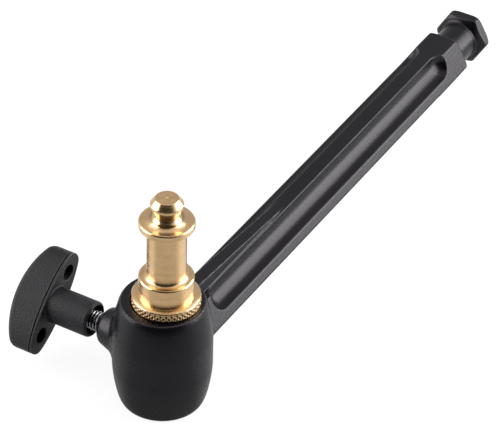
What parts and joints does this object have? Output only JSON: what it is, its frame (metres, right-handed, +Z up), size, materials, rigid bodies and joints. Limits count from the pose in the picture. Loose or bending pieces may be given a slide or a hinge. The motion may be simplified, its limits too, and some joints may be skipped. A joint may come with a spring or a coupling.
{
  "type": "pivot clamp",
  "caption": "Cast hexagonal arm with a socket at one end, where a wing screw clamps a reversible brass mounting spigot.",
  "frame": {"origin": "centre of the arm's free hexagonal end face", "axes": "+X out of that end face along the arm, +Y along the clamp screw towards the knob, +Z up along the socket's bore"},
  "size_m": [0.206, 0.0625, 0.0721],
  "materials": {
    "black_casting_paint": "satin black powder coat over cast aluminium",
    "turned_brass": "bright turned brass with fine lathe lines",
    "zinc_steel": "bright zinc-plated steel",
    "pale_acetal": "plain pale plastic",
    "black_nylon": "moulded glass-filled black nylon, fine matt texture"
  },
  "bodies": {
    "arm": {"arm_casting": "black_casting_paint"},
    "spigot": {"spigot": "turned_brass"},
    "pad": {"pressure_pad": "pale_acetal"},
    "knob": {"clamp_knob": "black_nylon", "clamp_screw": "zinc_steel"}
  },
  "joints": [
    {"name": "spigot_turn", "type": "hinge", "parent": "arm", "child": "spigot", "pos_m": [-0.1914, -0.0011, 0], "axis": [0, 0, 1], "continuous": true},
    {"name": "screw_advance", "type": "slide", "parent": "arm", "child": "pad", "axis": [0, 1, 0], "range_m": [0, 0.004]},
    {"name": "knob_turn", "type": "hinge", "parent": "pad", "child": "knob", "pos_m": [-0.1914, 0, 0], "axis": [0, 1, 0], "range_deg": [0, 1440]}
  ],
  "couplings": [
    {"joint": "screw_advance", "follows": "knob_turn", "m_per_rad": 0.00015915}
  ]
}
